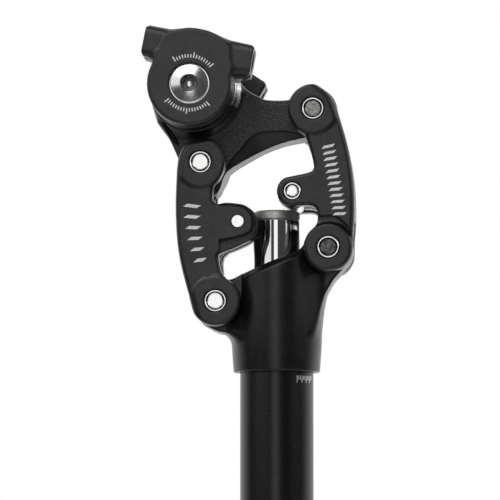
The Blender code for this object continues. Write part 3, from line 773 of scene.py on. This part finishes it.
def head_casting():
    g = Grid((-31, -COLLAR_RADIUS, 0), (29, COLLAR_RADIUS, 55))
    narrowing = np.clip(1 - g.z / 22.0, 0, 1) ** 2
    barrel = g.post(COLLAR_RADIUS) + narrowing
    # the rim climbs by 0.4 of the distance towards the front
    rim = (g.z - (33.8 + 0.4 * (g.x + 18.0))) * 0.93
    body = chamfered(barrel, rim, 2.3)
    body = both(body, -g.z, 0.5)
    rear = arc(REAR_LOWER, LUG_RADIUS, 80, 235, 24)
    rear += [(-24.2, 16.1), (-21.2, 14.8), (-17.8, 14.2), (-8.0, 12.0), (-8.0, 33.0)]
    front = arc(FRONT_LOWER, LUG_RADIUS, -40, 180, 30)
    front += [(9.0, 40.0), (8.0, 12.0), (13.0, 15.0), (14.8, 19.0), (16.2, 23.5), (18.3, 28.6)]
    front += [(21.5, 34.0)]
    for outline in (rear, front):
        lug = both(g.outline(outline), np.abs(g.y) - LUG_HALF, 0.8)
        body = either(body, lug, 4.0)
    # the barrel is milled flat beside each lug, to clear the link's boss
    clearance = 9.5
    for centre in (REAR_LOWER, FRONT_LOWER):
        left, right = centre[0] - clearance, centre[0] + clearance
        milled = g.outline([(left, centre[1]), (right, centre[1]), (right, 60), (left, 60)])
        milled = np.minimum(milled, g.rod(centre, clearance))
        body = without(body, both(milled, 9.6 - np.abs(g.y)), 0.4)
        body = without(body, g.rod(centre, BUSH_BORE), 0.2)
    plunger_bore, tube_socket = g.post(9.9), g.post(13.75)
    body = without(body, both(plunger_bore, 10.0 - g.z), 0.4)
    body = without(body, both(tube_socket, g.z - 16.3), 0.3)
    piece = g.mesh("head_casting_body", body)
    dress(piece, CASTING_PAINT, "lower_assembly", "black_paint", "head_casting")


# ---------------------------------------------------------------- saddle clamp


def clamp_to_world(point, tilt):
    u, w = point
    return (BOLT[0] + u * cos(tilt) - w * sin(tilt), BOLT[1] + u * sin(tilt) + w * cos(tilt))


def clamp_disc_outline(tilt):
    """The round plate with its crown between the rails' ends."""
    disc = arc((0, 0), 15.6, 140, 400, 56)
    crown = smooth([disc[-1], (10.4, 16.0), (8.2, 18.2), (4.4, 20.0), (0.0, 20.5), (-4.4, 20.0),
                    (-8.2, 18.2)])
    return [clamp_to_world(p, tilt) for p in disc + crown + [(-10.4, 16.0)]]


def clamp_wing_outline(tilt, reach):
    """The block along the rail, seen from the side."""
    front = [(14.0, 6.0), (19.0, 6.2), (reach, 7.4), (reach - 0.1, 17.4), (reach - 1.2, 18.2)]
    front += [(8.0, 18.8)]
    rear = [(-8.0, 18.6), (-18.6, 18.8), (-19.7, 17.6), (-19.7, 8.2), (-18.9, 7.0), (-14.0, 6.4)]
    return [clamp_to_world(p, tilt) for p in front + rear]


def clamp_half(name, side, span, body, node):
    """One half of a side's clamp; an outer half has a bolt recess and is rounded over the rail."""
    g = Grid(*node_low_high(node))
    if side < 0:
        tilt, reach, bore = NEAR_TILT, NEAR_REACH, NEAR_BORE
    else:
        tilt, reach, bore = FAR_TILT, FAR_REACH, FAR_BORE
    near, far = sorted((side * span[0], side * span[1]))
    plate = both(g.outline(clamp_disc_outline(tilt)), g.across(near, far), 1.2)
    wings = g.outline(clamp_wing_outline(tilt, reach))
    rail = clamp_to_world((0, RAIL_HEIGHT), tilt)
    height = (g.x - rail[0]) * sin(-tilt) + (g.z - rail[1]) * cos(tilt)
    outward = side * g.y - RAIL_CENTRE
    if span == OUTER_CLAMP:
        barrel = both(np.abs(height - 0.3) - 6.3, outward - 6.1, 3.6)
        wings = both(both(wings, barrel), span[0] + 0.1 - side * g.y, 0.6)
        field = either(plate, wings, 3.0)
        field = without(field, both(g.rod(BOLT, 7.5), BOLT_RECESS_FLOOR - side * g.y), 0.12)
    else:
        wings = both(wings, g.across(near, far), 1.2)
        field = either(plate, wings, 2.0)
    field = both(field, g.across(near, far))
    field = without(field, np.hypot(height, outward) - RAIL_GROOVE, 0.3)
    field = without(field, g.rod(BOLT, bore), 0.2)
    dress(g.mesh(name, field), CLAMP_PAINT, body, "clamp_paint", node)


def saddle_clamp():
    clamp_half("near_outer_plate", -1, OUTER_CLAMP, "near_clamp", "near_outer_clamp")
    clamp_half("far_outer_plate", 1, OUTER_CLAMP, "far_clamp", "far_outer_clamp")
    clamp_half("near_cradle_plate", -1, INNER_CLAMP, "near_cradle", "near_inner_clamp")
    clamp_half("far_cradle_plate", 1, INNER_CLAMP, "far_cradle", "far_inner_clamp")


# ---------------------------------------------------------------- pins, rings and bolt


def turned_both_ways(name, profile, centre):
    """Turns the near half of a profile about Y, with the far half as its mirror image."""
    return turned(name, profile + [(r, -h) for r, h in reversed(profile)], centre=centre)


def axle(name, centre, radius, body, node, surface):
    half = 17.6
    profile = [(0, half), (radius - 0.35, half), (radius, half - 0.3)]
    dress(turned_both_ways(name, profile, centre), surface, body, "bright_steel", node)


def ring(name, side, centre, radius, bore, body, node):
    back, face = 16.8, 17.9
    edge = 0.15
    profile = [(radius, back), (radius, face - edge), (radius - edge, face), (bore + edge, face)]
    profile += [(bore, face - edge), (bore, back)]
    if side > 0:
        profile = [(r, -h) for r, h in reversed(profile)]
    dress(turned(name, profile, centre=centre), BRIGHT_STEEL, body, "bright_steel", node)


def pin_set(label, centre, body, surface, radius=2.95, bore=3.4, outer=3.95):
    """A pin and the retaining ring round each of its ends."""
    axle(label + "_pin", centre, radius, body, label + "_axle", surface)
    for side, word in ((-1, "near"), (1, "far")):
        ring(f"{label}_clip_{word}", side, centre, outer, bore, body, f"{label}_ring_{word}")


def bumper_pin():
    """The plain pin through the rear link's arm."""
    half = node_low_high("bumper_pin")[1][1]
    profile = [(0, half), (2.17, half), (2.25, half - 0.1)]
    piece = turned_both_ways("bumper_pin_turned", profile, BUMPER)
    dress(piece, BRIGHT_STEEL, "rear_link", "bright_steel", "bumper_pin")


def clamp_bolt():
    """A coned head with a turned face, a chamfered hexagon socket and a plain shank."""
    socket = [(0, 25.7), (0.9, 26.0), (2.45, 26.0), (2.45, 27.9), (2.7, 28.0), (3.0, 29.5)]
    cone = [(3.3, 29.85), (3.45, 29.83), (6.75, 28.6), (6.95, 28.35)]
    shank = [(6.95, 26.9), (4.0, 26.9), (4.0, -27.4), (3.4, -28.0), (0, -28.0)]
    profile = socket + cone + shank
    piece = turned("clamp_bolt_turned", profile, centre=BOLT, sharp=20, hexagons=(2, 3))
    dress(piece, BOLT_STEEL, "clamp_bolt", "bright_steel", "clamp_bolt")

    def socket_shade(points, normals):
        """The socket's walls, chamfer and the rim of its floor, made darker as painted shade in the
        socket.
        """
        away = np.hypot(points[:, 0] - BOLT[0], points[:, 2] - BOLT[1])
        wall = np.abs(normals[:, 1]) < 0.8
        return (away < 2.98) & (wall | (away > 1.0)) & (points[:, 1] < 0)

    # painted shade: the socket's walls, chamfer and floor rim get the darker steel
    repaint(piece, DARK_STEEL_AND_SHADE, socket_shade)


# ---------------------------------------------------------------- printed marks


def printed(name, shapes, body, slot="chrome"):
    """Thin marks from closed 3-D outlines, each (points in mm, outward vector)."""
    bm = bmesh.new()
    for points, outward in shapes:
        lift = Vector(outward) * MARK_LIFT
        base = [bm.verts.new((Vector(p) - lift) * MM) for p in points]
        top = [bm.verts.new((Vector(p) + lift) * MM) for p in points]
        bm.faces.new(top)
        bm.faces.new(base[::-1])
        for i in range(len(points)):
            j = (i + 1) % len(points)
            bm.faces.new((base[i], base[j], top[j], top[i]))
    dress(mesh_from_bmesh(name, bm, sharp=30), ETCHED, body, slot)


def bar(centre, length, width, angle, slant=0.0):
    """The four corners of a bar in the XZ plane, along an angle and with slanted ends."""
    along = np.array([cos(radians(angle)), sin(radians(angle))])
    over = np.array([-along[1], along[0]])
    corners = []
    for s, t in ((-1, -1), (1, -1), (1, 1), (-1, 1)):
        end = np.array(centre) + s * length / 2 * along
        corners.append(end + t * (width / 2 * over + slant * along))
    return corners


def near_face(corners, distance):
    """Corners laid on a near face, at its distance from the middle plane."""
    return [(x, -distance, z) for x, z in corners], (0, -1, 0)


def clamp_marks():
    """Two arcs of tightening ticks round the bolt."""
    shapes = []
    for start, end, count, every in ((38, 122, 15, 7), (218, 312, 17, 8)):
        for i, a in enumerate(np.linspace(start, end, count)):
            length, radius = (2.1, 10.4) if i % every == 0 else (1.3, 10.0)
            centre = BOLT + radius * np.array([cos(radians(a)), sin(radians(a))])
            shapes.append(near_face(bar(centre, length, 0.42, a), OUTER_CLAMP[1]))
    printed("clamp_ticks", shapes, "near_clamp")


def link_marks():
    """Plain slanted bars down the middle of each link."""
    front = [(19.8 + 0.38 * i, 82.4 - 2.27 * i) for i in range(12)]
    bars = [bar(p, 4.2, 1.0, 12 - i, 0.6) for i, p in enumerate(front)]
    printed("front_link_bars", [near_face(b, LINK_FACE) for b in bars], "front_link")
    rear = [(-30.4, 60.6), (-30.4, 56.6), (-30.0, 52.6), (-29.4, 48.6), (-28.5, 44.6)]
    rear += [(-27.4, 40.6)]
    bars = [bar(p, 5.0 - 0.3 * i, 1.2, 172 + 3 * i, 0.8) for i, p in enumerate(rear)]
    printed("rear_link_bars", [near_face(b, LINK_FACE) for b in bars], "rear_link")


def tube_marks():
    """A short scale of ticks on the tube below the collar."""
    shapes = []
    for i in range(12):
        a = radians(36 + 3.2 * i)
        outward = Vector((sin(a), -cos(a), 0))
        along = Vector((cos(a), sin(a), 0))
        high, low = -1.6, -4.2 if i % 3 == 0 else -3.2
        half_width = 0.16
        ends = ((-1, low), (1, low), (1, high), (-1, high))
        corners = [outward * TUBE_RADIUS + s * half_width * along + Vector((0, 0, z))
                   for s, z in ends]
        shapes.append((corners, outward))
    printed("tube_scale", shapes, "lower_assembly", "tube_anodise")


# ---------------------------------------------------------------- tube, plunger, roller


def seat_tube():
    inner = TUBE_RADIUS - 1.8
    profile = [(TUBE_RADIUS, TUBE_LOW + 0.8), (TUBE_RADIUS, TUBE_TOP), (inner, TUBE_TOP)]
    profile += [(inner, TUBE_LOW + 0.4), (inner + 0.4, TUBE_LOW), (TUBE_RADIUS - 0.8, TUBE_LOW)]
    piece = turned("seat_tube_drawn", profile)
    dress(piece, ANODISED, "lower_assembly", "tube_anodise", "seat_tube")


def plunger():
    """The hollow chromed rod with its flange, and the hard pad plugged into its top."""
    rod = [(8.6, 15.8), (8.6, 56.2), (8.2, 56.6), (4.1, 56.6), (4.1, 48.0), (6.0, 47.0)]
    flange = [(6.0, 3.0), (7.1, 3.0), (7.1, 9.6), (11.4, 9.6), (11.4, 15.8)]
    dress(turned("plunger_rod", rod + flange), CHROME, "plunger", "chrome", "plunger")
    plug = [(0, 50.0), (3.9, 50.0), (3.9, 56.8)]
    pad = [(8.3, 56.8), (8.6, 57.1), (8.6, 59.4), (8.0, 60.0), (0, 60.0)]
    dress(turned("plunger_pad", plug + pad), CAP_STEEL, "plunger", "dark_steel", "plunger_cap")


def spring_rise(bottom, top):
    """The turns and heights of the spring, with closed turns at its two ends."""
    closed = 0.35 * (top - bottom) / SPRING_TURNS
    turns = [0, 1, SPRING_TURNS - 1, SPRING_TURNS]
    return turns, [bottom, bottom + closed, top - closed, top]


def coil(name, bottom, top, first_turn, last_turn):
    """A length of round wire that winds up Z, from one turn of the spring to another."""
    steps = round((last_turn - first_turn) * (36))
    sides = 16
    bm = bmesh.new()
    rings = []
    for turn in np.linspace(first_turn, last_turn, steps + 1):
        a = tau * turn
        height = np.interp(turn, *spring_rise(bottom, top))
        centre = Vector((SPRING_RADIUS * cos(a), SPRING_RADIUS * sin(a), height))
        outward = Vector((cos(a), sin(a), 0))
        circle = [centre + WIRE_RADIUS * (cos(b) * outward + sin(b) * Vector((0, 0, 1)))
                  for b in (tau * k / sides for k in range(sides))]
        rings.append([bm.verts.new(p * MM) for p in circle])
    for one, two in zip(rings, rings[1:]):
        for k in range(sides):
            bm.faces.new((one[k], one[(k + 1) % sides], two[(k + 1) % sides], two[k]))
    bm.faces.new(rings[0][::-1])
    bm.faces.new(rings[-1])
    return mesh_from_bmesh(name, bm)


def main_spring():
    """A compression spring between the plunger and the preload seat.

    Its lowest turns are a piece of their own."""
    low, high = node_low_high("main_spring")
    ends = low[2] + WIRE_RADIUS, high[2] - WIRE_RADIUS
    split = np.interp(SEAT_TURNS, *spring_rise(*ends))
    lower = coil("spring_seat_coils", *ends, 0, SEAT_TURNS)
    upper = coil("spring_coil", *ends, SEAT_TURNS, SPRING_TURNS)
    slides = (
        (upper, "plunger_slide", high[2] - split),
        (lower, "preload_seat_slide", split - low[2]),
    )
    for piece, joint, length in slides:
        dress(piece, SPRING_STEEL, "lower_assembly", "dark_steel", "main_spring")
        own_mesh(piece)


def roller():
    half = 9.4
    profile = [(2.4, half), (5.3, half), (5.8, half - 0.5)]
    piece = turned_both_ways("roller_turned", profile, ROLLER)
    dress(piece, BRIGHT_STEEL, "roller", "bright_steel", "roller")


def cad_looks():
    """Better materials for the CAD nodes that stay."""
    looks = {
        "bolt_washer": BRIGHT_STEEL,
        "clamp_nut": BOLT_STEEL,
        "preload_plug": BRIGHT_STEEL,
        "top_out_bumper": RUBBER,
        "wiper_seal": RUBBER,
        "preload_spacer": PLASTIC,
        "lower_plunger_bush": PLASTIC,
        "upper_plunger_bush": PLASTIC,
    }
    for name in frame["nodes"]:
        if name.endswith("_bush") and "plunger" not in name:
            looks[name] = BRONZE
    for name, look in looks.items():
        node = frame["nodes"][name]
        node.data.materials.clear()
        node.data.materials.append(look)


# ---------------------------------------------------------------- studio


def direction(azimuth, elevation=0.0):
    """The unit vector at an azimuth from -Y towards +X, in degrees, and an elevation."""
    a, e = radians(azimuth), radians(elevation)
    return Vector((sin(a) * cos(e), -cos(a) * cos(e), sin(e)))


def softbox(name, azimuth, elevation, distance, width, height, brightness):
    """A rectangular lamp aimed at the linkage; a brightness of 1 matches the white backdrop."""
    data = bpy.data.lights.new(name, "AREA")
    data.shape = "RECTANGLE"
    data.size = width
    data.size_y = height
    data.energy = pi * width * height * brightness
    lamp = bpy.data.objects.new(name, data)
    bpy.context.scene.collection.objects.link(lamp)
    lamp.location = HEAD_CENTRE + distance * direction(azimuth, elevation)
    lamp.rotation_euler = (HEAD_CENTRE - lamp.location).to_track_quat("-Z", "Y").to_euler()


def white_surroundings():
    """A white background, whose light comes mostly from behind the object."""
    world = bpy.data.worlds.new("studio")
    bpy.context.scene.world = world
    world.use_nodes = True
    nodes, links = world.node_tree.nodes, world.node_tree.links
    place = nodes.new("ShaderNodeTexCoord")
    axes = nodes.new("ShaderNodeSeparateXYZ")
    links.new(place.outputs["Generated"], axes.inputs[0])
    falloff = nodes.new("ShaderNodeMapRange")
    falloff.interpolation_type = "SMOOTHSTEP"
    for key, value in zip(RANGE_ENDS, (-0.1, 0.6, 0.05, 1.0)):
        falloff.inputs[key].default_value = value
    links.new(axes.outputs["Y"], falloff.inputs["Value"])
    seen = nodes.new("ShaderNodeLightPath")
    strength = nodes.new("ShaderNodeMath")
    strength.operation = "MAXIMUM"
    links.new(seen.outputs["Is Camera Ray"], strength.inputs[0])
    links.new(falloff.outputs["Result"], strength.inputs[1])
    background = nodes["Background"]
    background.inputs["Color"].default_value = (1, 1, 1, 1)
    links.new(strength.outputs[0], background.inputs["Strength"])


def floor():
    """A round pale floor whose rim fades into the backdrop."""
    bm = bmesh.new()
    bmesh.ops.create_circle(bm, cap_ends=True, segments=96, radius=FLOOR_RADIUS)
    ground = mesh_from_bmesh("floor", bm)
    ground.location = (0, 0, (TUBE_LOW - 0.5) * MM)
    n = Nodes("floor_look")
    length = n.add("ShaderNodeVectorMath", operation="LENGTH")
    n.link(n.place, length.inputs[0])
    faded = n.spread(length.outputs["Value"], 1, 0, 0.25 * FLOOR_RADIUS, FLOOR_RADIUS)
    n.set(Base_Color=(0.86, 0.86, 0.86), Roughness=0.8, Alpha=faded)
    ground.data.materials.append(n.material)


def studio():
    bpy.context.scene.view_settings.view_transform = "Standard"
    white_surroundings()
    floor()
    softbox("key", -15, 48, 1.3, 1.1, 0.9, 1.6)
    softbox("strip", -1.5, 6, 1.4, 0.44, 1.4, 1.0)
    softbox("left_box", -49, 22, 1.4, 1.30, 1.0, 0.80)
    softbox("right_box", 61, 24, 1.4, 0.62, 1.0, 0.8)
    softbox("head_light", 85, 24, 1.0, 0.35, 0.5, 1.8)


def camera():
    """The photograph's viewpoint: the near side, from slightly below and slightly ahead."""
    distance, azimuth, elevation = 1.25, 3.07, -5.23
    aim = Vector((-0.00996, 0, 0.04582))
    data = bpy.data.cameras.new("camera")
    data.sensor_width = 36
    data.lens = 241.5
    data.clip_end = 20
    eye = bpy.data.objects.new("camera", data)
    bpy.context.scene.collection.objects.link(eye)
    back = direction(azimuth, elevation)
    eye.location = aim + distance * back
    eye.rotation_euler = (-back).to_track_quat("-Z", "Y").to_euler()
    bpy.context.scene.camera = eye


camera()
studio()
seat_tube()
head_casting()
front_link()
rear_link()
upper_head()
saddle_clamp()
clamp_bolt()
bumper_pin()
pin_set("front_lower", FRONT_LOWER, "front_link", DARK_STEEL_AND_SHADE)
pin_set("front_upper", FRONT_UPPER, "front_link", GREY_STEEL)
pin_set("roller", ROLLER, "front_link", BRIGHT_STEEL, 2.1, 2.55, 3.1)
pin_set("rear_lower", REAR_LOWER, "rear_link", BRIGHT_STEEL)
pin_set("rear_upper", REAR_UPPER, "rear_link", BRIGHT_STEEL)
plunger()
main_spring()
roller()
clamp_marks()
link_marks()
tube_marks()
cad_looks()
